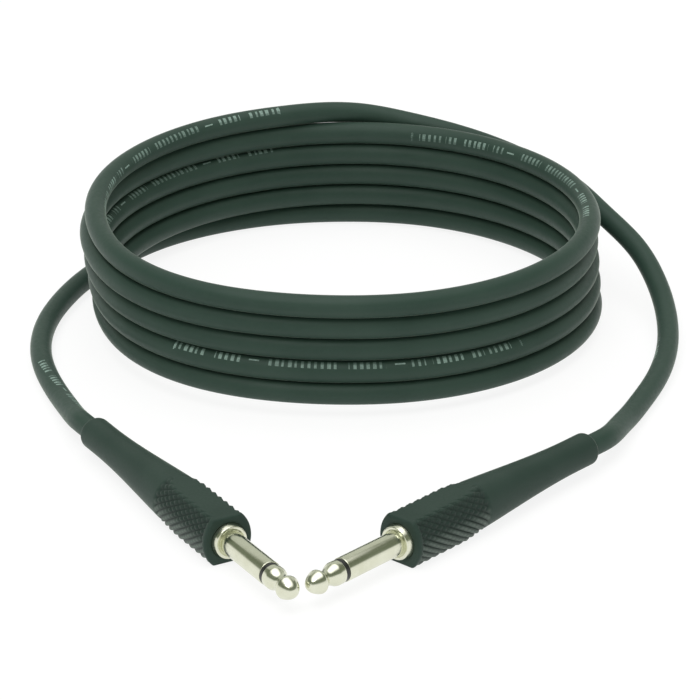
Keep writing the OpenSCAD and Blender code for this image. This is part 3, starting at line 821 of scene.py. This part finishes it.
def rubber_material():
    """Moulded grip: the same soft compound, a little darker, with a painted highlight on the ribs
    low on its sides and painted shade on the diamonds and in the grooves.
    """
    n = material_nodes("grip_rubber")
    base, _, fine = compound(n, RUBBER_COLORS, 60.0, 1400.0, 0.3)
    painted_highlight, painted_shade, _ = n.attribute("knurl_painted_light")
    # Painted highlight on the ribs low on the sides
    base = n.mix(n.product(painted_highlight, RIB_HIGHLIGHT_COVER), base, RIB_HIGHLIGHT_COLOR)
    # Painted shade on the diamonds and in the grooves
    base = n.mix(n.product(painted_shade, PAINTED_SHADE_COVER), base, PAINTED_SHADE_COLOR)
    rough = n.ramp(fine, 0.3, 0.7, 0.5, 0.64)
    bump = n.bump(fine, GRAIN, 0.4)
    return n.finish(base, rough, bump, Specular_IOR_Level=0.25, Sheen_Weight=0.35, **SHEEN)


def nickel_material():
    """Turned and plated: fine rings round the axis and faint wear along it."""
    n = material_nodes("nickel_plate")
    rings = n.noise(n.local((0.0, 0.0, 1.0)), 9000.0, 2.0)
    wear = n.noise(n.local((1.0, 1.0, 0.04)), 2600.0)
    cloud = n.noise(n.local(), 260.0)
    base = n.mix(n.ramp(cloud, 0.3, 0.7), *NICKEL_COLORS)
    worn, dim = n.ramp(wear, 0.35, 0.75, 0.13, 0.22), n.ramp(cloud, 0.3, 0.7, 0.0, 0.05)
    return n.finish(base, n.math("ADD", worn, dim), n.bump(rings, TURNING, 0.25), Metallic=1.0)


def plain_material(name, dark, light, low, high, metallic):
    """Clouded between two colours and two roughnesses."""
    n = material_nodes(name)
    cloud = n.noise(n.local(), 700.0)
    base = n.mix(n.ramp(cloud, 0.3, 0.7), rgba(*dark), rgba(*light))
    rough = n.ramp(cloud, 0.3, 0.7, low, high)
    return n.finish(base, rough, n.bump(cloud, CLOUDS, 0.4), Metallic=metallic)


# Dark and light colour, least and most roughness, and 1 for a metal
PLAIN_MATERIALS = {
    "black_insulator": ((0.010, 0.011, 0.010), (0.018, 0.019, 0.017), 0.3, 0.42, 0.0),
    "ivory_insulator": ((0.70, 0.64, 0.50), (0.76, 0.71, 0.58), 0.35, 0.5, 0.0),
    "tinned_lug": ((0.55, 0.54, 0.50), (0.66, 0.65, 0.61), 0.25, 0.4, 1.0),
    "inner_mould": ((0.05, 0.05, 0.05), (0.07, 0.07, 0.07), 0.5, 0.6, 0.0),
    "dielectric": ((0.75, 0.75, 0.72), (0.82, 0.82, 0.80), 0.35, 0.5, 0.0),
    "copper": ((0.70, 0.33, 0.20), (0.82, 0.42, 0.27), 0.25, 0.4, 1.0),
    "solder": ((0.50, 0.50, 0.49), (0.62, 0.62, 0.61), 0.22, 0.38, 1.0),
}
MATERIALS = {
    "jacket": jacket_material(), "grip_rubber": rubber_material(), "nickel": nickel_material(),
}
for plain_name, plain_looks in PLAIN_MATERIALS.items():
    MATERIALS[plain_name] = plain_material(plain_name, *plain_looks)


def dress(obj, slot):
    obj.data.materials.clear()
    obj.data.materials.append(MATERIALS[slot])


for node_name, node_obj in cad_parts.items():
    kind = node_name.split("_", 1)[1]
    for material_slot in node_obj.material_slots:
        material_slot.material = MATERIALS[NODE_SLOTS[kind]]
dress(cable, "jacket")
for pieces in plugs.values():
    for node, obj in pieces.items():
        dress(obj, NODE_SLOTS[node])

# ---- Floor, world and lamps, in metres ----

WHITE = rgba(1, 1, 1)
FLOOR_HALF, FLOOR_Z = 4.0, -0.00005
# How light the floor is and how much it glows by itself, as the camera and reflections see it
# and as it lights the object
FLOOR_SEEN = (0.18, 0.86)
FLOOR_LIGHTS = (0.62, 0.34)
# Light of the studio by height: direction's Z and colour
SKY = [
    (0.0, rgba(1.0, 1.0, 1.0)), (0.2, rgba(1.0, 1.0, 1.0)), (0.32, rgba(0.20, 0.23, 0.17)),
    (0.76, rgba(0.17, 0.19, 0.14)), (0.88, rgba(1.3, 1.3, 1.3)), (1.0, rgba(2.3, 2.3, 2.3)),
]
# Target, azimuth (0 stands at -Y, 180 behind the object), elevation, width, height and power
LAMPS = {
    "back_softbox": ((0.0, 0.05, 0.0), 180, 36, 2.4, 1.0, 3.4),
    "front_softbox": ((0.0, 0.08, 0.0), -25, 58, 0.75, 0.75, 5.6),
}
LAMP_DISTANCE = 1.6


def glowing(n, grey, glow):
    """A matt surface that also gives off light."""
    matt = n.add("ShaderNodeBsdfDiffuse", rgba(grey, grey, grey)).outputs[0]
    light = n.add("ShaderNodeEmission", WHITE, glow).outputs[0]
    return n.add("ShaderNodeAddShader", matt, light).outputs[0]


def make_floor():
    mesh = bpy.data.meshes.new("floor")
    signs = ((-1, -1), (1, -1), (1, 1), (-1, 1))
    corners = [(x * FLOOR_HALF, y * FLOOR_HALF, FLOOR_Z) for x, y in signs]
    mesh.from_pydata(corners, [], [(0, 1, 2, 3)])
    n = material_nodes("floor_white")
    rays = n.add("ShaderNodeLightPath").outputs
    mirrored = n.math("MAXIMUM", rays["Is Glossy Ray"], rays["Is Transmission Ray"])
    seen = n.math("MAXIMUM", rays["Is Camera Ray"], mirrored)
    lit, shown = glowing(n, *FLOOR_LIGHTS), glowing(n, *FLOOR_SEEN)
    both = n.add("ShaderNodeMixShader", seen, lit, shown).outputs[0]
    n.tree.nodes.remove(n.tree.nodes["Principled BSDF"])
    n.join(both, n.tree.nodes["Material Output"].inputs[0])
    mesh.materials.append(n.owner)
    put_in_scene("floor", mesh)


def make_world():
    """Light that changes with height, behind a white that only the camera sees."""
    world = bpy.data.worlds.new("studio")
    bpy.context.scene.world = world
    n = Nodes(world)
    n.tree.nodes.clear()
    direction = n.add("ShaderNodeTexCoord").outputs["Generated"]
    height = n.add("ShaderNodeSeparateXYZ", direction).outputs[2]
    studio = n.add("ShaderNodeBackground", n.color_ramp(height, SKY), 1.0).outputs[0]
    white = n.add("ShaderNodeBackground", WHITE, 1.0).outputs[0]
    camera_ray = n.add("ShaderNodeLightPath").outputs["Is Camera Ray"]
    both = n.add("ShaderNodeMixShader", camera_ray, studio, white).outputs[0]
    n.add("ShaderNodeOutputWorld", both)


def make_lamp(name, target, azimuth, elevation, width, height, power):
    data = bpy.data.lights.new(name, "AREA")
    data.shape, data.size, data.size_y, data.energy = "RECTANGLE", width, height, power
    turn = Matrix.Rotation(math.radians(azimuth), 4, "Z")
    tilt = Matrix.Rotation(math.pi / 2 - math.radians(elevation), 4, "X")
    away = Matrix.Translation((0, 0, LAMP_DISTANCE))
    put_in_scene(name, data).matrix_world = Matrix.Translation(target) @ turn @ tilt @ away


make_floor()
make_world()
for lamp_name, lamp_values in LAMPS.items():
    make_lamp(lamp_name, *lamp_values)

bpy.context.scene.view_settings.view_transform = "Standard"
